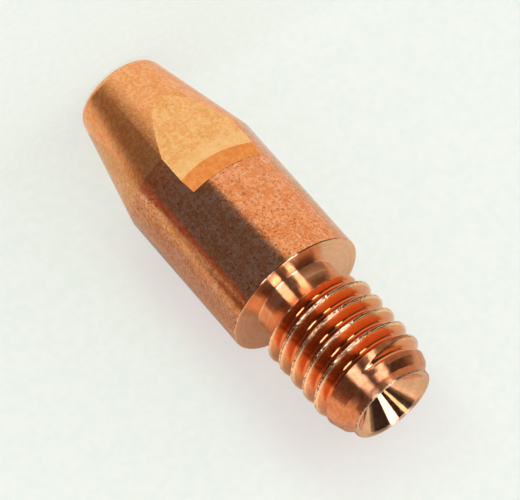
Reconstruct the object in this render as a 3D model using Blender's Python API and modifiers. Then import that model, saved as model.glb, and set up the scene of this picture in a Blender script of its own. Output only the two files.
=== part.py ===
"""Contact tip for gas-shielded wire welding: one turned piece of copper with an M8 thread.

The tip stands on the flat end of its nose, which is at the origin, with its thread end up and its
spanner flats facing -Y and +Y. Lengths are in metres, +Z is up.
"""

import math

import bmesh
import bpy
from mathutils import Matrix, Vector

MM = 0.001

# Body, from the nose up
TIP_LENGTH = 30.0 * MM
BODY_DIAMETER = 10.0 * MM
NOSE_DIAMETER = 6.25 * MM
NOSE_CONE_LENGTH = 8.3 * MM
NOSE_EDGE_RADIUS = 0.65 * MM
RIM_CHAMFER = 0.08 * MM

# Threaded stem, from the shoulder to the end
STEM_LENGTH = 10.3 * MM
NECK_DIAMETER = 6.0 * MM
NECK_LENGTH = 0.8 * MM
NECK_FILLET = 0.12 * MM
NECK_RELIEF_RADIUS = 1.5 * MM
THREAD_DIAMETER = 7.9 * MM
THREAD_PITCH = 1.25 * MM
THREAD_DEPTH = 0.72 * MM
THREAD_ROOT_WIDTH = 0.26 * MM
THREAD_FLANK_ANGLE = math.radians(30)
THREAD_PHASE = math.radians(-83)
LEAD_IN_LENGTH = 2.4 * MM
LEAD_IN_DIAMETER = 7.0 * MM
PILOT_DIAMETER = 6.06 * MM
PILOT_LENGTH = 0.55 * MM
RUN_OUT_TURNS = 0.35

# Wire passage
WIRE_BORE_DIAMETER = 1.4 * MM
MOUTH_DIAMETER = 5.5 * MM
MOUTH_HALF_ANGLE = math.radians(45)
BORE_EXIT_CHAMFER = 0.1 * MM

# Spanner flats on the nose side of the body
ACROSS_FLATS = 8.14 * MM
STEP_TO_SHOULDER = 8.06 * MM
STEP_RAMP_LENGTH = 1.7 * MM
STEP_RAMP_RISE = 0.08 * MM

TURNING_STEPS = 72
THREAD_STEPS = 60
ARC_STEPS = 6
CUTTER_OVERRUN = 1.0 * MM
MERGE_DISTANCE = 1e-6

BODY_RADIUS = BODY_DIAMETER / 2
NECK_RADIUS = NECK_DIAMETER / 2
THREAD_RADIUS = THREAD_DIAMETER / 2
ROOT_RADIUS = THREAD_RADIUS - THREAD_DEPTH
BORE_RADIUS = WIRE_BORE_DIAMETER / 2
SHOULDER_HEIGHT = TIP_LENGTH - STEM_LENGTH


def clear_scene():
    for obj in list(bpy.data.objects):
        bpy.data.objects.remove(obj, do_unlink=True)


def new_collection(name):
    collection = bpy.data.collections.new(name)
    bpy.context.scene.collection.children.link(collection)
    return collection


def copper():
    """Bare copper alloy, as turned."""
    material = bpy.data.materials.new("copper")
    material.use_nodes = True
    shader = material.node_tree.nodes["Principled BSDF"]
    shader.inputs["Base Color"].default_value = (0.85, 0.42, 0.24, 1.0)
    shader.inputs["Metallic"].default_value = 1.0
    shader.inputs["Roughness"].default_value = 0.3
    return material


def arc(centre, radius, start, end):
    """Points of an arc in the radius-height plane, both ends included."""
    points = []
    for step in range(ARC_STEPS + 1):
        angle = start + (end - start) * step / ARC_STEPS
        points.append((centre[0] + radius * math.cos(angle), centre[1] + radius * math.sin(angle)))
    return points


def mouth_outline():
    """The wire entry, from its rim down the funnel into the bore."""
    mouth_radius = MOUTH_DIAMETER / 2
    funnel_depth = (mouth_radius - BORE_RADIUS) / math.tan(MOUTH_HALF_ANGLE)
    return [(mouth_radius, TIP_LENGTH), (BORE_RADIUS, TIP_LENGTH - funnel_depth)]


def stem_outline():
    """The stem's outside, from the end face down to the shoulder, with the thread's crests uncut."""
    pilot_radius = PILOT_DIAMETER / 2
    lead_in_radius = LEAD_IN_DIAMETER / 2
    pilot_base = TIP_LENGTH - PILOT_LENGTH
    chamfer_base = pilot_base - (lead_in_radius - pilot_radius)
    neck_top = SHOULDER_HEIGHT + NECK_LENGTH
    relief_centre = (NECK_RADIUS + NECK_RELIEF_RADIUS, neck_top)
    relief_start = math.acos((THREAD_RADIUS - relief_centre[0]) / NECK_RELIEF_RADIUS)
    fillet_centre = (NECK_RADIUS + NECK_FILLET, SHOULDER_HEIGHT + NECK_FILLET)
    return [
        (pilot_radius, TIP_LENGTH),
        (pilot_radius, pilot_base),
        (lead_in_radius, chamfer_base),
        (THREAD_RADIUS, TIP_LENGTH - LEAD_IN_LENGTH),
        *arc(relief_centre, NECK_RELIEF_RADIUS, relief_start, math.pi),
        *arc(fillet_centre, NECK_FILLET, math.pi, 1.5 * math.pi),
    ]


def body_outline():
    """The body's outside, from the shoulder down over the nose cone to the bore's exit."""
    nose_radius = NOSE_DIAMETER / 2
    cone_slope = math.atan2(BODY_RADIUS - nose_radius, NOSE_CONE_LENGTH)
    edge_set_back = NOSE_EDGE_RADIUS * math.tan((math.pi / 2 - cone_slope) / 2)
    edge_centre = (nose_radius - edge_set_back, NOSE_EDGE_RADIUS)
    return [
        (BODY_RADIUS - RIM_CHAMFER, SHOULDER_HEIGHT),
        (BODY_RADIUS, SHOULDER_HEIGHT - RIM_CHAMFER),
        (BODY_RADIUS, NOSE_CONE_LENGTH),
        *arc(edge_centre, NOSE_EDGE_RADIUS, -cone_slope, -math.pi / 2),
        (BORE_RADIUS + BORE_EXIT_CHAMFER, 0),
        (BORE_RADIUS, BORE_EXIT_CHAMFER),
    ]


def turned_blank(collection):
    """The tip as it leaves the lathe, before its thread and flats: one closed profile, turned."""
    outline = stem_outline() + body_outline() + mouth_outline()[::-1]
    mesh = bpy.data.meshes.new("contact_tip")
    points = [(radius, 0, height) for radius, height in outline]
    edges = [(i, (i + 1) % len(points)) for i in range(len(points))]
    mesh.from_pydata(points, edges, [])
    blank = bpy.data.objects.new("contact_tip", mesh)
    collection.objects.link(blank)
    screw = blank.modifiers.new("turning", "SCREW")
    screw.steps = TURNING_STEPS
    screw.render_steps = TURNING_STEPS
    screw.use_merge_vertices = True
    screw.merge_threshold = MERGE_DISTANCE
    return blank


def as_cutter(name, mesh, collection):
    cutter = bpy.data.objects.new(name, mesh)
    cutter.hide_render = True
    cutter.display_type = "WIRE"
    collection.objects.link(cutter)
    return cutter


def groove_section(shift):
    """Corners of the 60 degree thread groove, its floor moved outwards by shift."""
    half_root = THREAD_ROOT_WIDTH / 2
    half_top = half_root + THREAD_DEPTH * math.tan(THREAD_FLANK_ANGLE)
    outside = THREAD_RADIUS + CUTTER_OVERRUN
    return [
        (ROOT_RADIUS + shift, -half_root),
        (ROOT_RADIUS + shift, half_root),
        (THREAD_RADIUS + shift, half_top),
        (outside + shift, half_top),
        (outside + shift, -half_top),
        (THREAD_RADIUS + shift, -half_top),
    ]


def thread_cutter(collection):
    """The helical groove, from inside the neck to where it rises out of the lead-in."""
    start_height = SHOULDER_HEIGHT + NECK_LENGTH
    end_height = TIP_LENGTH - LEAD_IN_LENGTH + THREAD_PITCH * 3 / 4
    turns = (end_height - start_height) / THREAD_PITCH
    steps = round(turns * THREAD_STEPS)
    run_out_steps = round(RUN_OUT_TURNS * THREAD_STEPS)
    phase = THREAD_PHASE + math.tau * (start_height - SHOULDER_HEIGHT) / THREAD_PITCH
    section_count = len(groove_section(0))

    bm = bmesh.new()
    sections = []
    for step in range(steps + 1):
        past_full_depth = max(0, step - (steps - run_out_steps))
        shift = THREAD_DEPTH * past_full_depth / run_out_steps
        turn = Matrix.Rotation(phase + math.tau * step / THREAD_STEPS, 3, "Z")
        height = start_height + THREAD_PITCH * step / THREAD_STEPS
        corners = [turn @ Vector((r, 0, height + h)) for r, h in groove_section(shift)]
        sections.append([bm.verts.new(corner) for corner in corners])
    for low, high in zip(sections, sections[1:]):
        for i in range(section_count):
            j = (i + 1) % section_count
            bm.faces.new((low[i], low[j], high[j], high[i]))
    bm.faces.new(sections[0])
    bm.faces.new(sections[-1])
    bmesh.ops.recalc_face_normals(bm, faces=bm.faces)
    mesh = bpy.data.meshes.new("thread_groove")
    bm.to_mesh(mesh)
    bm.free()
    return as_cutter("thread_groove", mesh, collection)


def flat_cutter(side, collection):
    """What one cutter of the milling pair takes away: a flat, a shallow ramp and a square step."""
    half_across = ACROSS_FLATS / 2
    step_height = SHOULDER_HEIGHT - STEP_TO_SHOULDER
    outside = BODY_RADIUS + CUTTER_OVERRUN
    outline = [
        (half_across, -CUTTER_OVERRUN),
        (half_across, step_height - STEP_RAMP_LENGTH),
        (half_across + STEP_RAMP_RISE, step_height),
        (outside, step_height),
        (outside, -CUTTER_OVERRUN),
    ]

    bm = bmesh.new()
    corners = [bm.verts.new((-outside, side * y, z)) for y, z in outline]
    extruded = bmesh.ops.extrude_face_region(bm, geom=[bm.faces.new(corners)])
    moved = [item for item in extruded["geom"] if isinstance(item, bmesh.types.BMVert)]
    bmesh.ops.translate(bm, verts=moved, vec=(2 * outside, 0, 0))
    bmesh.ops.recalc_face_normals(bm, faces=bm.faces)
    mesh = bpy.data.meshes.new("spanner_flat")
    bm.to_mesh(mesh)
    bm.free()
    return as_cutter("spanner_flat", mesh, collection)


def cut(piece, cutter):
    difference = piece.modifiers.new(cutter.name, "BOOLEAN")
    difference.operation = "DIFFERENCE"
    difference.solver = "EXACT"
    difference.object = cutter


def main():
    clear_scene()
    parts = new_collection("welding_contact_tip")
    tools = new_collection("cutters")
    tip = turned_blank(parts)
    for cutter in (thread_cutter(tools), flat_cutter(-1, tools), flat_cutter(1, tools)):
        cut(tip, cutter)
    tip.data.materials.append(copper())


main()
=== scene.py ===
import math

import bmesh
import bpy
from mathutils import Matrix, Vector, noise as pattern


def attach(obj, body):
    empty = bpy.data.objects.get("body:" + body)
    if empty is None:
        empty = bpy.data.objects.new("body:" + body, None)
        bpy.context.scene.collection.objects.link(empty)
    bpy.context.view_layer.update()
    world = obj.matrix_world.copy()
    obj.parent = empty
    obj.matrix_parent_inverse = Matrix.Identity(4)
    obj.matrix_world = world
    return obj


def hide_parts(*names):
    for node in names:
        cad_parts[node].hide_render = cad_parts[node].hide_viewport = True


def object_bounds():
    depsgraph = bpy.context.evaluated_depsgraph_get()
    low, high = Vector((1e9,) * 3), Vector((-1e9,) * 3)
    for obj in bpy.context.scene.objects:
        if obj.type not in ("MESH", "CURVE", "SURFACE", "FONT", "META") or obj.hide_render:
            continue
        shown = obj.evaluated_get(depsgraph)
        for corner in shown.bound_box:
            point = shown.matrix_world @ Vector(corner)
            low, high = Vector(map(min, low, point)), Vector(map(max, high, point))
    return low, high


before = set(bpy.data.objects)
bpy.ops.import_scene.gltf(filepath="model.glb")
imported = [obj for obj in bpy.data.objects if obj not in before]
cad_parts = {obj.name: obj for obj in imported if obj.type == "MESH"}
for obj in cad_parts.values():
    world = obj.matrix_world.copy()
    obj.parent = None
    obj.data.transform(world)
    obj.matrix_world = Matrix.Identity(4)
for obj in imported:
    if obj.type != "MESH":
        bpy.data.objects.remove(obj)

cad_low, cad_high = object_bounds()


# The turned tip: one length of copper alloy bar, turned on a lathe to a body, a nose cone,
# a slim neck behind the shoulder and a pilot at the thread end, and drilled for the wire.
# It stands on its nose. Heights here run from the shoulder face up towards the thread end.
MM = 0.001
stem_length = 10.3 * MM
body_radius = 5.0 * MM
body_length = 19.7 * MM
cone_length = 8.3 * MM
nose_radius = 3.125 * MM
nose_edge_radius = 0.65 * MM
rim_chamfer = 0.09 * MM
neck_radius = 3.0 * MM
neck_length = 0.8 * MM
neck_fillet = 0.12 * MM
pilot_radius = 3.03 * MM
pilot_length = 0.55 * MM
pilot_edge = 0.07 * MM
funnel_lip = 0.06 * MM
mouth_radius = 2.75 * MM
bore_radius = 0.7 * MM
bore_exit_chamfer = 0.1 * MM
thread_joint = 0.03 * MM
turning_steps = 144
nose_steps = 8
edge_steps = 4
end_steps = 3
shoulder_height = cad_high.z - stem_length


def arc(centre_height, centre_r, radius, start_deg, end_deg, steps):
    """Points of a rounding in the turning profile, as height and radius pairs."""
    points = []
    for step in range(steps + 1):
        angle = math.radians(start_deg + (end_deg - start_deg) * step / steps)
        points.append((centre_height + radius * math.cos(angle), centre_r + radius * math.sin(angle)))
    return points


cone_slope = math.degrees(math.atan2(body_radius - nose_radius, cone_length))
edge_set_back = nose_edge_radius * math.tan(math.radians(90 - cone_slope) / 2)
nose_edge_height = nose_edge_radius - body_length
nose_edge_r = nose_radius - edge_set_back
profile = [
    (neck_length - thread_joint, neck_radius),
    *arc(neck_fillet, neck_radius + neck_fillet, neck_fillet, 270, 180, edge_steps),
    *arc(-rim_chamfer, body_radius - rim_chamfer, rim_chamfer, 0, 90, edge_steps),
    (cone_length - body_length, body_radius),
    *arc(nose_edge_height, nose_edge_r, nose_edge_radius, 90 + cone_slope, 180, nose_steps),
    (-body_length, bore_radius + bore_exit_chamfer),
    (bore_exit_chamfer - body_length, bore_radius),
    (stem_length - (mouth_radius - bore_radius), bore_radius),
    (stem_length - pilot_edge - funnel_lip, mouth_radius - pilot_edge - funnel_lip),
    (stem_length - pilot_edge, mouth_radius - pilot_edge),
    *arc(stem_length - pilot_edge, mouth_radius + pilot_edge, pilot_edge, -45, 0, end_steps),
    *arc(stem_length - pilot_edge, pilot_radius - pilot_edge, pilot_edge, 0, 90, end_steps),
    (stem_length - pilot_length + thread_joint, pilot_radius),
]
turned = bmesh.new()
ring = [turned.verts.new((0, -r, height)) for height, r in profile]
chain = [turned.edges.new(pair) for pair in zip(ring, ring[1:] + ring[:1])]
bmesh.ops.spin(
    turned,
    geom=ring + chain,
    cent=(0, 0, 0),
    axis=(0, 0, 1),
    dvec=(0, 0, 0),
    angle=math.tau,
    steps=turning_steps,
    use_merge=True,
)
bmesh.ops.recalc_face_normals(turned, faces=turned.faces)


# The spanner flats: two parallel faces that a pair of milling cutters takes off the nose end.
# Each ends in a shallow ramp and a square step, eight millimetres short of the shoulder.
across_flats = 8.14 * MM
step_to_shoulder = 8.06 * MM
ramp_length = 1.8 * MM
ramp_rise = 0.08 * MM
ramp_bow = 0.6 * MM
ramp_bow_width = 2.9 * MM
ramp_divisions = 24
overrun = 1.0 * MM
near_ramp = 0.01 * MM


def mesh_object(name, source):
    """Turns a bmesh into an object in the scene."""
    mesh = bpy.data.meshes.new(name)
    source.to_mesh(mesh)
    source.free()
    obj = bpy.data.objects.new(name, mesh)
    bpy.context.scene.collection.objects.link(obj)
    return obj


blank = mesh_object("turned_blank", turned)
cutters = []
for side in (1, -1):
    outside = body_radius + overrun
    section = [
        (-body_length - overrun, across_flats / 2),
        (-step_to_shoulder - ramp_length, across_flats / 2),
        (-step_to_shoulder, across_flats / 2 + ramp_rise),
        (-step_to_shoulder, outside),
        (-body_length - overrun, outside),
    ]
    cutter = bmesh.new()
    corners = [cutter.verts.new((-outside, side * y, height)) for height, y in section]
    swept = bmesh.ops.extrude_face_region(cutter, geom=[cutter.faces.new(corners)])
    far_side = [item for item in swept["geom"] if isinstance(item, bmesh.types.BMVert)]
    bmesh.ops.translate(cutter, verts=far_side, vec=(2 * outside, 0, 0))
    long_edges = [edge for edge in cutter.edges if abs(edge.verts[0].co.x - edge.verts[1].co.x) > outside]
    bmesh.ops.subdivide_edges(cutter, edges=long_edges, cuts=ramp_divisions - 1)
    for vert in cutter.verts:
        if abs(vert.co.z + step_to_shoulder + ramp_length) < near_ramp:
            vert.co.z += ramp_bow * min(1, (vert.co.x / ramp_bow_width) ** 2)
    bmesh.ops.recalc_face_normals(cutter, faces=cutter.faces)
    cutters.append(mesh_object("milling_cut", cutter))
    milling = blank.modifiers.new("milling_cut", "BOOLEAN")
    milling.operation = "DIFFERENCE"
    milling.solver = "EXACT"
    milling.object = cutters[-1]
milled_mesh = blank.evaluated_get(bpy.context.evaluated_depsgraph_get()).to_mesh()
tip = bmesh.new()
tip.from_mesh(milled_mesh)
for obj in [blank, *cutters]:
    bpy.data.objects.remove(obj, do_unlink=True)


# The thread: a right-hand M8 thread formed on the stem, with rounded roots and rolled crests.
# It rises out of the neck in a round relief and tapers away in a lead-in before the pilot.
thread_radius = 3.95 * MM
thread_pitch = 1.25 * MM
thread_depth = 0.72 * MM
root_rounding = 0.22 * MM
flank_angle = math.radians(30)
flank_slope = 1 / math.tan(flank_angle)
groove_angle = math.radians(7)
thread_sweep_turns = 9
lead_in_start = 7.9 * MM
lead_in_radius = 3.5 * MM
relief_rounding = 1.5 * MM
relief_share = 0.95
run_out_start = 8.6 * MM
run_out_length = 0.4 * MM
crest_lip = 0.035 * MM
lip_variation = 0.9
lip_patches = 8
lip_patch_height = 0.5 * MM
lip_place = 0.12 * MM
lip_width = 0.045 * MM
seam_depth = 0.06 * MM
seam_width = 0.05 * MM
crest_blend = 0.05 * MM
root_divisions = 3
flank_divisions = 7
crest_divisions = 10
crest_spacing = 0.02 * MM
crest_zone = 0.23 * MM
merge_distance = 0.002 * MM
chamfer_base = stem_length - pilot_length - (lead_in_radius - pilot_radius)
root_radius = thread_radius - thread_depth
arc_half_width = root_rounding * math.cos(flank_angle)


def stem_envelope(height):
    """Radius of the stem before its thread is cut: neck exit, thread, lead-in and chamfer."""
    past_neck = min(max(0, height - neck_length), relief_rounding * relief_share)
    rising = neck_radius + relief_rounding - math.sqrt(relief_rounding**2 - past_neck**2)
    taper = (thread_radius - lead_in_radius) / (chamfer_base - lead_in_start)
    falling = thread_radius - max(0, height - lead_in_start) * taper
    chamfer = lead_in_radius - (height - chamfer_base)
    return max(neck_radius, min(rising, thread_radius, falling, max(chamfer, pilot_radius)))


def stem_radius(height, angle):
    """Radius of the threaded stem at a height over the shoulder and an angle from the front flat."""
    first_groove = thread_pitch * (angle - groove_angle) / math.tau
    turns = round((height - first_groove) / thread_pitch)
    centre = first_groove + turns * thread_pitch
    across = abs(height - centre)
    if across < arc_half_width:
        flank = root_rounding - math.sqrt(root_rounding**2 - across**2)
    else:
        flank = root_rounding / 2 + (across - arc_half_width) * flank_slope
    run_out = min(1, max(0, (centre - run_out_start) / run_out_length))
    flank += thread_depth * run_out * run_out * (3 - 2 * run_out)
    from_crest = thread_pitch / 2 - across
    around = (lip_patches * math.sin(angle), lip_patches * math.cos(angle))
    rough = lip_variation * pattern.noise(Vector((*around, height / lip_patch_height)))
    lip = crest_lip * (1 + rough) * math.exp(-(((from_crest - lip_place) / lip_width) ** 2))
    seam = seam_depth * math.exp(-((from_crest / seam_width) ** 2))
    top = thread_depth + lip - seam
    blended = max(0, crest_blend - abs(flank - top)) ** 2 / (4 * crest_blend)
    threaded = root_radius + min(flank, top) - blended
    return min(threaded, stem_envelope(height))


offsets = [arc_half_width * step / root_divisions for step in range(root_divisions + 1)]
flank_width = thread_pitch / 2 - crest_zone - arc_half_width
offsets += [arc_half_width + flank_width * step / flank_divisions for step in range(1, flank_divisions + 1)]
offsets += [thread_pitch / 2 - step * crest_spacing for step in range(crest_divisions + 1)]
across_pitch = sorted({-offset for offset in offsets} | set(offsets))
thread = bmesh.new()
start = Matrix.Rotation(groove_angle, 3, "Z")
line = [thread.verts.new(start @ Vector((0, -thread_radius, offset))) for offset in across_pitch]
links = [thread.edges.new(pair) for pair in zip(line, line[1:])]
bmesh.ops.spin(
    thread,
    geom=line + links,
    cent=(0, 0, 0),
    axis=(0, 0, 1),
    dvec=(0, 0, thread_pitch / turning_steps),
    angle=math.tau,
    steps=turning_steps,
)
one_turn = thread.verts[:] + thread.edges[:] + thread.faces[:]
for turn in range(1, thread_sweep_turns):
    copied = bmesh.ops.duplicate(thread, geom=one_turn)
    copied_verts = [item for item in copied["geom"] if isinstance(item, bmesh.types.BMVert)]
    bmesh.ops.translate(thread, verts=copied_verts, vec=(0, 0, turn * thread_pitch))
bmesh.ops.remove_doubles(thread, verts=thread.verts, dist=merge_distance)
relief_reach = neck_radius + relief_rounding - thread_radius
relief_top = neck_length + math.sqrt(relief_rounding**2 - relief_reach**2)
for height in (relief_top, lead_in_start, chamfer_base):
    bmesh.ops.bisect_plane(
        thread,
        geom=thread.verts[:] + thread.edges[:] + thread.faces[:],
        plane_co=(0, 0, height),
        plane_no=(0, 0, 1),
    )
for height, outwards in ((neck_length, -1), (stem_length - pilot_length, 1)):
    bmesh.ops.bisect_plane(
        thread,
        geom=thread.verts[:] + thread.edges[:] + thread.faces[:],
        plane_co=(0, 0, height),
        plane_no=(0, 0, outwards),
        clear_outer=True,
    )
for vert in thread.verts:
    angle = math.atan2(vert.co.x, -vert.co.y)
    radius = stem_radius(vert.co.z, angle)
    vert.co.x *= radius / thread_radius
    vert.co.y *= radius / thread_radius

joint_faces = [
    face
    for face in tip.faces
    if neck_length < face.calc_center_median().z < stem_length - pilot_length
    and face.calc_center_median().xy.length > mouth_radius
]
bmesh.ops.delete(tip, geom=joint_faces, context="FACES")
thread_mesh = bpy.data.meshes.new("thread")
thread.to_mesh(thread_mesh)
thread.free()
tip.from_mesh(thread_mesh)
bpy.data.meshes.remove(thread_mesh)
for height in (neck_length, stem_length - pilot_length):
    open_edges = []
    for edge in tip.edges:
        edge_height = (edge.verts[0].co.z + edge.verts[1].co.z) / 2
        if edge.is_boundary and abs(edge_height - height) < 2 * thread_joint:
            open_edges.append(edge)
    bmesh.ops.bridge_loops(tip, edges=open_edges)
bmesh.ops.recalc_face_normals(tip, faces=tip.faces)


# The finished tip: each zone gets the finish that its own operation leaves on the copper.
# Its sharp edges stay sharp, and everything else is shaded as a smooth turned surface.
DRAWN, CONED, MILLED, STEPPED, TURNED, FACED, PILOT, THREADED = range(8)
sharp_angle = math.radians(24)
wear = tip.faces.layers.float.new("edge_wear")
crest = tip.faces.layers.float.new("crest")
groove_depth_shade = tip.faces.layers.float.new("groove_depth_shade")
rim_dent_layer = tip.faces.layers.float.new("rim_dent_shade")
crest_band = 0.17 * MM
crest_fade = 0.6
crest_end = run_out_start + 0.3 * MM
groove_start = 0.03 * MM
ramp_start = 0.02 * MM
flat_facing = 0.985
stem_start = -0.3 * rim_chamfer
for edge in tip.edges:
    edge.smooth = len(edge.link_faces) == 2 and edge.calc_face_angle() < sharp_angle
for face in tip.faces:
    face.smooth = True
    centre = face.calc_center_median()
    radius = centre.xy.length
    across = abs(centre.y) - across_flats / 2
    if centre.z > stem_start:
        cut_away = stem_envelope(centre.z) - radius
        in_thread = centre.z < chamfer_base and radius > mouth_radius
        in_thread = in_thread and (relief_top < centre.z < lead_in_start or cut_away > groove_start)
        at_end = centre.z > stem_length - pilot_edge
        if in_thread:
            face.material_index = THREADED
        elif at_end or radius < mouth_radius:
            face.material_index = FACED
        elif centre.z > lead_in_start:
            face.material_index = PILOT
        else:
            face.material_index = TURNED
        climbed = thread_pitch * (math.atan2(centre.x, -centre.y) - groove_angle) / math.tau
        pitches = (centre.z - climbed) / thread_pitch
        from_crest = abs(pitches - math.floor(pitches) - 0.5) * thread_pitch
        on_crest = in_thread and from_crest < crest_band and centre.z < crest_end
        face[crest] = 1 - crest_fade * from_crest / crest_band if on_crest else 0
        # How deep a thread face is cut, for the painted shade deep in its groove.
        face[groove_depth_shade] = min(1, max(0, cut_away / thread_depth)) if in_thread else 0
        face[wear] = 1 if at_end else 0
        face[rim_dent_layer] = 1 if at_end and radius > pilot_radius - pilot_edge else 0
    elif radius < bore_radius + bore_exit_chamfer:
        face.material_index = TURNED
    elif abs(face.normal.y) > flat_facing and across < ramp_rise and centre.z < -step_to_shoulder:
        face.material_index = STEPPED if across > ramp_start else MILLED
    elif centre.z < cone_length - body_length:
        face.material_index = CONED
    else:
        face.material_index = DRAWN
        face[wear] = 0.5 if centre.z > -rim_chamfer else 0
        face[rim_dent_layer] = 1 if centre.z > -rim_chamfer else 0
bmesh.ops.translate(tip, verts=tip.verts, vec=(0, 0, shoulder_height))
contact_tip = mesh_object("turned_contact_tip", tip)


def plug(tree, socket, value):
    """Feeds a shader socket from another socket, or sets it to a plain value."""
    if isinstance(value, bpy.types.NodeSocket):
        tree.links.new(value, socket)
    elif socket.type == "RGBA":
        socket.default_value = (*value, 1)
    else:
        socket.default_value = value


def maths(tree, operation, *values):
    """One maths step on sockets or numbers."""
    node = tree.nodes.new("ShaderNodeMath")
    node.operation = operation
    for socket, value in zip(node.inputs, values):
        plug(tree, socket, value)
    return node.outputs[0]


def rise(tree, value, start, end):
    """Smooth step from 0 at start to 1 at end."""
    node = tree.nodes.new("ShaderNodeMapRange")
    node.interpolation_type = "SMOOTHSTEP"
    for name, number in (("Value", value), ("From Min", start), ("From Max", end)):
        plug(tree, node.inputs[name], number)
    return node.outputs["Result"]


def cover(tree, below, above, mask):
    """Lays one colour over another, where the mask is 1."""
    node = tree.nodes.new("ShaderNodeMix")
    node.data_type = "RGBA"
    for socket, value in ((node.inputs[6], below), (node.inputs[7], above), (node.inputs[0], mask)):
        plug(tree, socket, value)
    return node.outputs[2]


def product(tree, *masks):
    """Several masks multiplied together."""
    result = masks[0]
    for mask in masks[1:]:
        result = maths(tree, "MULTIPLY", result, mask)
    return result


def noise(tree, place, scale, detail, dimensions="3D"):
    """Cloudy variation between 0 and 1 at a place, or along one line."""
    node = tree.nodes.new("ShaderNodeTexNoise")
    node.noise_dimensions = dimensions
    plug(tree, node.inputs["W" if dimensions == "1D" else "Vector"], place)
    plug(tree, node.inputs["Scale"], scale)
    plug(tree, node.inputs["Detail"], detail)
    return node.outputs["Fac"]


def scaled(tree, place, factors):
    """A place with each of its directions stretched by its own factor."""
    node = tree.nodes.new("ShaderNodeVectorMath")
    node.operation = "MULTIPLY"
    plug(tree, node.inputs[0], place)
    plug(tree, node.inputs[1], factors)
    return node.outputs[0]


def object_place(tree):
    """The place of a surface point on the piece."""
    return tree.nodes.new("ShaderNodeTexCoord").outputs["Object"]


def attribute(tree, name):
    """A value that the mesh carries, such as where its edges are worn."""
    node = tree.nodes.new("ShaderNodeAttribute")
    node.attribute_name = name
    return node.outputs["Fac"]


def node_group(name, takes, gives):
    """An empty group of shader nodes with named inputs and outputs."""
    tree = bpy.data.node_groups.new(name, "ShaderNodeTree")
    for label, kind in takes:
        tree.interface.new_socket(label, in_out="INPUT", socket_type=kind)
    for label, kind in gives:
        tree.interface.new_socket(label, in_out="OUTPUT", socket_type=kind)
    entry = tree.nodes.new("NodeGroupInput")
    leave = tree.nodes.new("NodeGroupOutput")
    return tree, entry.outputs, leave.inputs


COLOUR, NUMBER = "NodeSocketColor", "NodeSocketFloat"
cloud_scale = 900
mottle_scale = 3600
fine_scale = 7500
pit_scale = 6200
scuff_scale = 4700
streak_scale = 3600
streak_stretch = (1, 1, 0.03)
speckle_shade = (0.72, 0.62, 0.6)
streak_shade = (0.82, 0.66, 0.56)
pit_shade = (0.30, 0.22, 0.22)
grain, grain_in, grain_out = node_group(
    "copper_grain",
    [("Colour", COLOUR), ("Bloom", COLOUR), ("Roughness", NUMBER), ("Specks", NUMBER), ("Streaks", NUMBER)],
    [("Base Color", COLOUR), ("Roughness", NUMBER), ("Height", NUMBER)],
)
place = object_place(grain)
clouds = noise(grain, place, cloud_scale, 3)
mottle = noise(grain, place, mottle_scale, 3)
fine = noise(grain, place, fine_scale, 2)
drawn_lines = noise(grain, scaled(grain, place, streak_stretch), streak_scale, 3)
pits = product(grain, rise(grain, noise(grain, place, pit_scale, 1), 0.63, 0.71), grain_in["Specks"])
scuffs = product(grain, rise(grain, noise(grain, place, scuff_scale, 2), 0.58, 0.66), grain_in["Specks"])
lined = product(grain, rise(grain, drawn_lines, 0.5, 0.72), grain_in["Streaks"])
bloomed = maths(grain, "MULTIPLY_ADD", clouds, 0.35, maths(grain, "MULTIPLY", mottle, 0.65))
tinted = cover(grain, grain_in["Colour"], grain_in["Bloom"], rise(grain, bloomed, 0.40, 0.62))
speckled = product(grain, rise(grain, fine, 0.5, 0.6), grain_in["Specks"], 0.7)
tinted = cover(grain, tinted, scaled(grain, tinted, speckle_shade), speckled)
tinted = cover(grain, tinted, scaled(grain, tinted, streak_shade), lined)
plug(grain, grain_out["Base Color"], cover(grain, tinted, scaled(grain, tinted, pit_shade), pits))
rougher = maths(grain, "MULTIPLY_ADD", maths(grain, "SUBTRACT", mottle, 0.5), 0.12, grain_in["Roughness"])
plug(grain, grain_out["Roughness"], maths(grain, "MULTIPLY_ADD", scuffs, 0.12, rougher))
relief = maths(grain, "MULTIPLY_ADD", mottle, 0.3, maths(grain, "MULTIPLY", fine, 0.6))
relief = maths(grain, "SUBTRACT", relief, maths(grain, "MULTIPLY", pits, 0.4))
plug(grain, grain_out["Height"], maths(grain, "SUBTRACT", relief, maths(grain, "MULTIPLY", lined, 0.15)))

cutter_lines, lines_in, lines_out = node_group(
    "cutter_lines",
    [("Distance", NUMBER), ("Lines per Metre", NUMBER)],
    [("Height", NUMBER), ("Tone", NUMBER)],
)
counted = maths(cutter_lines, "MULTIPLY", lines_in["Distance"], lines_in["Lines per Metre"])
tone = noise(cutter_lines, counted, 1, 2, "1D")
plug(cutter_lines, lines_out["Height"], tone)
plug(cutter_lines, lines_out["Tone"], rise(cutter_lines, tone, 0.35, 0.65))

bare_edge = (0.90, 0.54, 0.34)
# Painted shade: near-black dents along the worn rims.
dent_shade_tone = (0.10, 0.035, 0.025)
speck_scale = 6500
worn_and_shaded_rims, rims_in, rims_out = node_group(
    "worn_and_shaded_rims",
    [("Colour", COLOUR), ("Roughness", NUMBER)],
    [("Base Color", COLOUR), ("Roughness", NUMBER)],
)
worn = attribute(worn_and_shaded_rims, "edge_wear")
rim_specks = noise(worn_and_shaded_rims, object_place(worn_and_shaded_rims), speck_scale, 2)
bared = product(worn_and_shaded_rims, worn, rise(worn_and_shaded_rims, rim_specks, 0.62, 0.5))
rim_tone = cover(worn_and_shaded_rims, rims_in["Colour"], bare_edge, bared)
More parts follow.
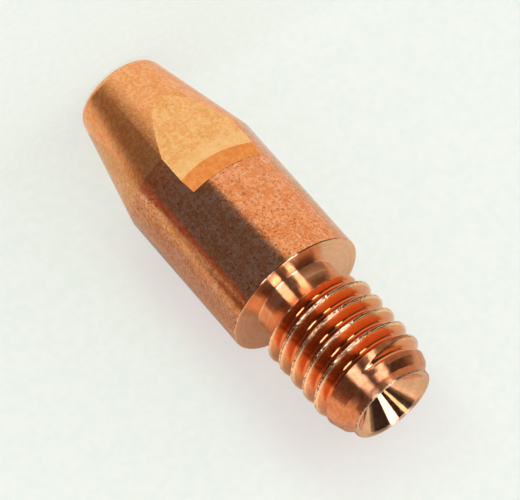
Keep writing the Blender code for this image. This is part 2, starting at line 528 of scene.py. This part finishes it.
# The rims' dents are painted near-black as shade; the bare worn edge beside them is real wear.
dented_rims = product(worn_and_shaded_rims, attribute(worn_and_shaded_rims, "rim_dent_shade"), 0.85)
dent_shade = product(worn_and_shaded_rims, dented_rims, rise(worn_and_shaded_rims, rim_specks, 0.51, 0.45))
plug(worn_and_shaded_rims, rims_out["Base Color"], cover(worn_and_shaded_rims, rim_tone, dent_shade_tone, dent_shade))
rubbed = maths(worn_and_shaded_rims, "MULTIPLY_ADD", rise(worn_and_shaded_rims, worn, 0.6, 1.0), 0.3, rims_in["Roughness"])
plug(worn_and_shaded_rims, rims_out["Roughness"], rubbed)


def place_group(tree, group, given):
    """Places a group in a material with its own values."""
    node = tree.nodes.new("ShaderNodeGroup")
    node.node_tree = group
    for label, value in given.items():
        plug(tree, node.inputs[label], value)
    return node.outputs


def distance_from(tree, centre, factors):
    """Distance from a point, with each direction weighted by its own factor."""
    node = tree.nodes.new("ShaderNodeVectorMath")
    node.operation = "DISTANCE"
    plug(tree, node.inputs[0], scaled(tree, object_place(tree), factors))
    plug(tree, node.inputs[1], [part * factor for part, factor in zip(centre, factors)])
    return node.outputs["Value"]


cutter_centre = (0, 0, shoulder_height - 2.88 * MM)
milling_sweep = (1, 0, 1)
# The tone that a spanner flat pales to next to its ramp:
ramp_side_tone = (0.92, 0.61, 0.255)
# Painted shade along the step's edge:
step_shade_tone = (0.11, 0.035, 0.03)
step_shade_scale = 5200
step_half_width = 2.9 * MM
groove_shade_tone = (0.68, 0.16, 0.04)
crest_tone = (0.95, 0.60, 0.36)
seam_shade_tone = (0.05, 0.03, 0.025)
crest_bump = 0.035 * MM
line_shade = (0.8, 0.62, 0.5)
turning_lines = 5200
milling_lines = 3600
turning_from = (0, 0, 2 * shoulder_height)
quarter_turn = 0.25


def paler_by_ramp(tree, toned):
    """A spanner flat's tone is palest next to its ramp."""
    from_cutter = distance_from(tree, cutter_centre, milling_sweep)
    far_fade = maths(tree, "MULTIPLY", rise(tree, from_cutter, 12.5 * MM, 8.5 * MM), 0.05)
    near_band = rise(tree, from_cutter, 8.3 * MM, 7.6 * MM)
    return cover(tree, toned, ramp_side_tone, maths(tree, "MULTIPLY_ADD", near_band, 0.42, far_fade))


def step_edge_shade(tree, toned):
    """A broken dark line of painted shade along the step's edge, where the ramp meets the step."""
    spot = tree.nodes.new("ShaderNodeSeparateXYZ")
    plug(tree, spot.inputs[0], object_place(tree))
    above_step = maths(tree, "SUBTRACT", spot.outputs["Z"], shoulder_height - step_to_shoulder)
    from_middle = maths(tree, "ABSOLUTE", spot.outputs["X"])
    line = product(tree, rise(tree, above_step, -0.05 * MM, 0), rise(tree, above_step, 0.1 * MM, 0.05 * MM))
    line = product(tree, line, rise(tree, from_middle, step_half_width, step_half_width - 0.1 * MM))
    broken = rise(tree, noise(tree, object_place(tree), step_shade_scale, 1), 0.4, 0.52)
    return cover(tree, toned, step_shade_tone, product(tree, line, broken, 0.6))


def rolled_crests(tree, toned, height):
    """The thread's grooves get a painted shade that is deeper and redder where they are cut deeper, its
    crests are bare, and their seams are painted as broken dark lines of shade.
    """
    # Painted shade: a groove cut deeper gets a deeper, redder tone.
    toned = cover(tree, toned, groove_shade_tone, product(tree, attribute(tree, "groove_depth_shade"), 0.9))
    on_crest = attribute(tree, "crest")
    crest_specks = noise(tree, object_place(tree), speck_scale, 2)
    toned = cover(tree, toned, crest_tone, product(tree, rise(tree, on_crest, 0.1, 0.4), 0.75))
    # Painted shade: a broken dark line along each crest's seam.
    seam = rise(tree, maths(tree, "MULTIPLY_ADD", on_crest, 0.5, crest_specks), 0.94, 1.02)
    toned = cover(tree, toned, seam_shade_tone, product(tree, seam, 0.75))
    bumps = product(tree, on_crest, crest_specks)
    return toned, maths(tree, "MULTIPLY_ADD", bumps, crest_bump, height)


def copper(
    name,
    tones,
    roughness,
    specks=0,
    streaks=0,
    grain_depth=0,
    lines=None,
    turned=0,
    mark=None,
    crests=None,
    rims=False,
):
    """Bare copper alloy in two tones. Its cutter lines have a depth and a strength of tone, and a
    turned surface mirrors in streaks along its axis. Marks, crests and worn rims, some with painted shade,
    are added on top."""
    material = bpy.data.materials.new(name)
    material.use_nodes = True
    tree = material.node_tree
    shader = tree.nodes["Principled BSDF"]
    shader.inputs["Metallic"].default_value = 1
    given = {"Roughness": roughness, "Specks": specks, "Streaks": streaks}
    given["Colour"], given["Bloom"] = tones
    surface = place_group(tree, grain, given)
    toned = surface["Base Color"]
    rough = surface["Roughness"]
    height = maths(tree, "MULTIPLY", surface["Height"], grain_depth)
    if mark:
        toned = mark(tree, toned)
    if lines:
        line_depth, line_tone = lines
        if turned:
            path = distance_from(tree, turning_from, (1, 1, 1))
        else:
            path = distance_from(tree, cutter_centre, milling_sweep)
        given = {"Distance": path, "Lines per Metre": turning_lines if turned else milling_lines}
        left = place_group(tree, cutter_lines, given)
        shaded = scaled(tree, toned, line_shade)
        toned = cover(tree, toned, shaded, product(tree, left["Tone"], line_tone))
        height = maths(tree, "MULTIPLY_ADD", left["Height"], line_depth, height)
    if crests:
        toned, height = crests(tree, toned, height)
    if rims:
        edges = place_group(tree, worn_and_shaded_rims, {"Colour": toned, "Roughness": rough})
        toned, rough = edges["Base Color"], edges["Roughness"]
    plug(tree, shader.inputs["Base Color"], toned)
    plug(tree, shader.inputs["Roughness"], rough)
    bump = tree.nodes.new("ShaderNodeBump")
    bump.inputs["Distance"].default_value = 1
    plug(tree, bump.inputs["Height"], height)
    plug(tree, shader.inputs["Normal"], bump.outputs["Normal"])
    if turned:
        shader.inputs["Anisotropic"].default_value = turned
        shader.inputs["Anisotropic Rotation"].default_value = quarter_turn
        tangent = tree.nodes.new("ShaderNodeTangent")
        tangent.direction_type = "RADIAL"
        tangent.axis = "Z"
        plug(tree, shader.inputs["Tangent"], tangent.outputs["Tangent"])
    contact_tip.data.materials.append(material)


salmon = ((0.76, 0.26, 0.085), (0.87, 0.40, 0.195))
amber = ((0.825, 0.335, 0.11), (0.90, 0.45, 0.19))
gold = ((0.85, 0.41, 0.13), (0.925, 0.535, 0.22))
orange = ((0.79, 0.26, 0.065), (0.86, 0.34, 0.095))
pink = ((0.86, 0.43, 0.23), (0.91, 0.49, 0.27))
russet = ((0.66, 0.20, 0.075), (0.76, 0.29, 0.125))
rosy = ((0.84, 0.36, 0.15), (0.88, 0.42, 0.20))
drawn_grain = 0.007 * MM
milled_grain = 0.012 * MM
thread_grain = 0.004 * MM
milled_line = 0.004 * MM
turned_line = 0.001 * MM
copper(
    "drawn_copper",
    salmon,
    roughness=0.14,
    specks=0.8,
    streaks=0.5,
    grain_depth=drawn_grain,
    mark=step_edge_shade,
    rims=True,
)
copper("coned_copper", amber, roughness=0.25, specks=0.3, streaks=0.3, grain_depth=milled_grain)
copper(
    "milled_copper",
    gold,
    roughness=0.24,
    specks=0.3,
    grain_depth=milled_grain,
    lines=(milled_line, 0.14),
    mark=paler_by_ramp,
)
copper(
    "stepped_copper", orange, roughness=0.26, specks=0.2, grain_depth=milled_grain, lines=(milled_line, 0.2)
)
copper("turned_copper", pink, roughness=0.22, lines=(turned_line, 0.35), turned=1.0)
copper("faced_copper", pink, roughness=0.13, lines=(turned_line, 0.3), turned=1.0, rims=True)
copper("pilot_copper", russet, roughness=0.31, specks=0.2, lines=(turned_line, 0.2), turned=1.0)
copper(
    "threaded_copper",
    rosy,
    roughness=0.15,
    specks=0.3,
    grain_depth=thread_grain,
    lines=(turned_line, 0.2),
    turned=0.9,
    crests=rolled_crests,
)
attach(contact_tip, "root")
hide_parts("contact_tip")


# The floor: a plain pale sheet that the tip stands on, with a pale card upright behind the tip.
# The card touches the body's rear, takes its soft shadow, and can't be seen from its own back.
# For the copper's reflections the card is painted darker beside the body as the tip's shadow, near-black
# high above it and darker far to the side, and painted brighter beside the stem and near the floor. Near
# the tip its glow carries a painted warm shade.
floor_size = 4.0
card_width = 0.20
card_height = 0.12
foot_rounding = 2.2 * MM
foot_steps = 10
above_floor = 0.01 * MM
fibre_scale = 1900
paper_tones = ((0.86, 0.90, 0.85), (0.90, 0.92, 0.87))
# Painted tones for the card as the copper mirrors it: the tip's shadow beside the body, dark high up and
# dark far off.
mirrored_tip_shadow = (0.74, 0.77, 0.87)
mirrored_dark_high_up = (0.06, 0.045, 0.045)
mirrored_dark_far_off = (0.27, 0.14, 0.10)
glow_tones = ((0.885, 0.94, 0.87), (0.925, 0.95, 0.895))
# Painted warm shade in the card's glow near the tip:
painted_warm_shade = (0.85, 0.81, 0.79)
# Painted light, brighter than white, for the card beside the stem as the copper mirrors it:
painted_light_by_stem = (1.5, 1.3, 1.15)
seen_glow = 0.7
painted_glow_strength = 0.5
table = bmesh.new()
bmesh.ops.create_grid(table, x_segments=1, y_segments=1, size=floor_size / 2)
floor = mesh_object("floor", table)
upright = bmesh.new()
foot = arc(foot_rounding, body_radius - foot_rounding, foot_rounding, 90, 180, foot_steps)
outline = [(card_height, body_radius), *foot]
row = [upright.verts.new((-card_width / 2, y, height + above_floor)) for height, y in outline]
strip = [upright.edges.new(pair) for pair in zip(row, row[1:])]
swept = bmesh.ops.extrude_edge_only(upright, edges=strip)
far_side = [item for item in swept["geom"] if isinstance(item, bmesh.types.BMVert)]
bmesh.ops.translate(upright, verts=far_side, vec=(card_width, 0, 0))
bmesh.ops.recalc_face_normals(upright, faces=upright.faces)
if sum(face.normal.y for face in upright.faces) > 0:
    bmesh.ops.reverse_faces(upright, faces=upright.faces)
for face in upright.faces:
    face.smooth = True
card = mesh_object("backdrop", upright)
paper = bpy.data.materials.new("pale_card")
paper.use_nodes = True
tree = paper.node_tree
sheet = tree.nodes["Principled BSDF"]
sheet.inputs["Roughness"].default_value = 0.9
sheet.inputs["Specular IOR Level"].default_value = 0.1
seen_by = tree.nodes.new("ShaderNodeLightPath")
spot = tree.nodes.new("ShaderNodeSeparateXYZ")
plug(tree, spot.inputs[0], object_place(tree))
sideways, upwards = spot.outputs["X"], spot.outputs["Z"]
mirrored = seen_by.outputs["Is Glossy Ray"]


def card_part(rising, falling=(), axis=upwards):
    """A mask that rises between two distances along the card and may fall between two others."""
    if not falling:
        return rise(tree, axis, *rising)
    return product(tree, rise(tree, axis, *rising), rise(tree, axis, *reversed(falling)))


# Where the card's glow gets its painted warm shade, beside the tip:
beside_tip = rise(tree, maths(tree, "ABSOLUTE", sideways), 8 * MM, 4 * MM)
warm_shade_mask = product(tree, beside_tip, card_part((3 * MM, 12 * MM), (27 * MM, 37 * MM)))
# Masks for painted shade and painted light that glossy rays alone see on the card.
tip_shadow_mask = product(tree, card_part((6 * MM, 9 * MM), (12 * MM, 17 * MM), sideways), mirrored)
# Where reflections of the card get painted light beside the stem:
light_by_stem_mask = product(tree, card_part((18 * MM, 20.5 * MM), (43 * MM, 52 * MM)), mirrored)
light_by_stem_mask = product(tree, light_by_stem_mask, card_part((3 * MM, 5.5 * MM), (14 * MM, 22 * MM), sideways))
dark_high_up_mask = product(tree, card_part((43 * MM, 52 * MM)), mirrored)
dark_far_off_mask = product(tree, card_part((19 * MM, 27 * MM), axis=sideways), mirrored)
light_near_floor_mask = product(tree, rise(tree, upwards, 9 * MM, 3 * MM), mirrored)
fibres = rise(tree, noise(tree, object_place(tree), fibre_scale, 4), 0.35, 0.65)
paper_tone = cover(tree, *paper_tones, fibres)
# Paints the tip's shadow and the dark parts into the card as the copper mirrors it.
for tone, mask in ((mirrored_tip_shadow, tip_shadow_mask), (mirrored_dark_high_up, dark_high_up_mask), (mirrored_dark_far_off, dark_far_off_mask)):
    paper_tone = cover(tree, paper_tone, tone, mask)
plug(tree, sheet.inputs["Base Color"], paper_tone)
glow_tone = cover(tree, *glow_tones, fibres)
# Paints the warm shade near the tip and the light beside the stem into the glow.
for tone, mask in ((painted_warm_shade, warm_shade_mask), (painted_light_by_stem, light_by_stem_mask)):
    glow_tone = cover(tree, glow_tone, tone, mask)
glow = tree.nodes.new("ShaderNodeEmission")
plug(tree, glow.inputs["Color"], glow_tone)
lift = tree.nodes.new("ShaderNodeMixShader")
# The glow lifts the card evenly for the camera, and adds painted light to reflections near the floor and
# beside the stem.
lifted = maths(tree, "MULTIPLY", seen_by.outputs["Is Camera Ray"], seen_glow)
for mask in (light_near_floor_mask, light_by_stem_mask):
    lifted = maths(tree, "MULTIPLY_ADD", mask, painted_glow_strength, lifted)
plug(tree, lift.inputs[0], lifted)
plug(tree, lift.inputs[1], sheet.outputs[0])
plug(tree, lift.inputs[2], glow.outputs[0])
plug(tree, tree.nodes["Material Output"].inputs[0], lift.outputs[0])
floor.data.materials.append(paper)
one_sided = paper.copy()
one_sided.name = "one_sided_card"
tree = one_sided.node_tree
clear = tree.nodes.new("ShaderNodeBsdfTransparent")
choose = tree.nodes.new("ShaderNodeMixShader")
facing = tree.nodes.new("ShaderNodeNewGeometry")
plug(tree, choose.inputs[0], facing.outputs["Backfacing"])
plug(tree, choose.inputs[1], tree.nodes["Mix Shader"].outputs[0])
plug(tree, choose.inputs[2], clear.outputs[0])
plug(tree, tree.nodes["Material Output"].inputs[0], choose.outputs[0])
card.data.materials.append(one_sided)
floor.visible_glossy = False


# The room, as the copper mirrors it: bright on the far side, and dark on the viewer's side and at
# the thread end, where two bright lamps hang among dimmer panels. The card and the floor get an
# even soft light instead, and one soft lamp adds the tip's shadow.
view_tilt = math.radians(65.8)
view_roll = math.radians(41.33)
flat_turn = math.radians(63)
tip_axis = Vector((0, 0, 1))
across_view = Vector((-math.sin(flat_turn), -math.cos(flat_turn), 0))
towards_view = Vector((math.cos(flat_turn), -math.sin(flat_turn), 0))

world = bpy.data.worlds.new("studio")
bpy.context.scene.world = world
world.use_nodes = True
room = world.node_tree
direction = room.nodes.new("ShaderNodeTexCoord").outputs["Generated"]


def along(vector):
    """How far a direction in the room points along a vector."""
    node = room.nodes.new("ShaderNodeVectorMath")
    node.operation = "DOT_PRODUCT"
    plug(room, node.inputs[0], direction)
    plug(room, node.inputs[1], vector)
    return node.outputs["Value"]


lean = along(tip_axis)
towards_lamps = maths(room, "ADD", along(towards_view), math.sin(view_tilt))
lamp_line = maths(room, "ARCTAN2", towards_lamps, along(across_view))
lamp_edge = math.radians(0.8)
lean_edge = 0.03


def panel(seen, tone, turns, leans):
    """Adds a part of the room between two turns about the tip's axis and two leans along it."""
    first, last = (math.radians(turn) for turn in turns)
    low, high = leans
    mask = product(
        room,
        rise(room, lamp_line, first - lamp_edge, first + lamp_edge),
        rise(room, lamp_line, last + lamp_edge, last - lamp_edge),
        rise(room, lean, low - lean_edge, low + lean_edge),
        rise(room, lean, high + lean_edge, high - lean_edge),
    )
    return cover(room, seen, tone, mask)


dark_side = -0.747 * across_view + 0.442 * towards_view + 0.4965 * tip_axis
rear = Vector((0, 1, 0))
far_side_white = (1.05, 1.0, 0.95)
viewer_grey = (0.165, 0.185, 0.25)
viewer_brown = (0.27, 0.19, 0.14)
table_cream = (0.95, 0.83, 0.72)
thread_end_black = (0.035, 0.027, 0.03)
far_wall_grey = (0.36, 0.34, 0.34)
even_light = (0.92, 0.92, 0.92)
behind_card = (0.87, 0.92, 0.85)
brown_strip = ((0.34, 0.165, 0.13), (121, 131), (-0.6, -0.2))
grey_wall = ((0.45, 0.42, 0.40), (-179, 64), (-0.1, 0.28))
white_wall = ((1.0, 0.95, 0.9), (126, 178), (0.0, 1.1))
warm_lamp = ((3.2, 2.7, 2.3), (128, 150), (0.25, 0.6))
brown_panel = ((0.45, 0.33, 0.28), (108, 128), (0.05, 0.2))
wide_lamp = ((12, 16, 22), (92, 104), (0.35, 0.6))
narrow_lamp = ((13, 20, 26), (69.5, 77.5), (0.37, 0.55))
warm_glow = ((2.2, 1.9, 1.4), (95, 101), (0.78, 1.1))
cool_glow = ((3.2, 3.6, 4.4), (69, 84), (0.78, 1.1))
downwards = rise(room, lean, -0.52, -0.68)
softness = maths(room, "MULTIPLY_ADD", downwards, 0.08, 0.015)
soft_start = maths(room, "MULTIPLY", softness, -2.6)
viewer_side = rise(room, along(dark_side), soft_start, softness)
viewer_tone = cover(room, viewer_grey, viewer_brown, downwards)
seen = cover(room, far_side_white, viewer_tone, viewer_side)
below = product(room, rise(room, lean, -0.35, -0.5), rise(room, along(rear), 0.02, 0.4))
seen = cover(room, seen, table_cream, below)
seen = panel(seen, *brown_strip)
thread_side = rise(room, lean, -0.1, 0.05)
seen = cover(room, seen, thread_end_black, thread_side)
far_wall = product(room, thread_side, rise(room, lamp_line, math.radians(44), math.radians(30)))
seen = cover(room, seen, far_wall_grey, far_wall)
for part in (grey_wall, white_wall, warm_lamp, brown_panel, wide_lamp, narrow_lamp, warm_glow, cool_glow):
    seen = panel(seen, *part)
path = room.nodes.new("ShaderNodeLightPath")
seen = cover(room, even_light, seen, path.outputs["Is Glossy Ray"])
seen = cover(room, seen, behind_card, path.outputs["Is Camera Ray"])
plug(room, room.nodes["Background"].inputs["Color"], seen)

key_distance = 0.5
lamp = bpy.data.lights.new("soft_key", "AREA")
lamp.size = 0.25
lamp.energy = 0.5
key = bpy.data.objects.new("soft_key", lamp)
key_back = Vector((-0.8, -0.42, 0.42)).normalized()
key_side = tip_axis.cross(key_back).normalized()
placed = Matrix((key_side, key_back.cross(key_side), key_back)).transposed().to_4x4()
placed.translation = key_distance * key_back
key.matrix_world = placed
key.visible_glossy = False
bpy.context.scene.collection.objects.link(key)


# The camera: a long lens that looks along the tip from beyond its thread end, tilted and rolled
# so that the tip lies across the picture.
camera_distance = 0.300
lens_length = 318.0
shoulder_right = 2.344 * MM
shoulder_down = 2.892 * MM
right = (
    math.cos(view_roll) * across_view
    - math.cos(view_tilt) * math.sin(view_roll) * towards_view
    + math.sin(view_roll) * math.sin(view_tilt) * tip_axis
)
up = (
    math.sin(view_roll) * across_view
    + math.cos(view_tilt) * math.cos(view_roll) * towards_view
    - math.cos(view_roll) * math.sin(view_tilt) * tip_axis
)
back = math.sin(view_tilt) * towards_view + math.cos(view_tilt) * tip_axis
looked_at = Vector((0, 0, shoulder_height)) - shoulder_right * right + shoulder_down * up
lens = bpy.data.cameras.new("camera")
lens.lens = lens_length
lens.sensor_width = 36
lens.clip_start = 0.01
camera = bpy.data.objects.new("camera", lens)
placed = Matrix((right, up, back)).transposed().to_4x4()
placed.translation = looked_at + camera_distance * back
camera.matrix_world = placed
bpy.context.scene.collection.objects.link(camera)
bpy.context.scene.camera = camera
bpy.context.scene.view_settings.view_transform = "Standard"
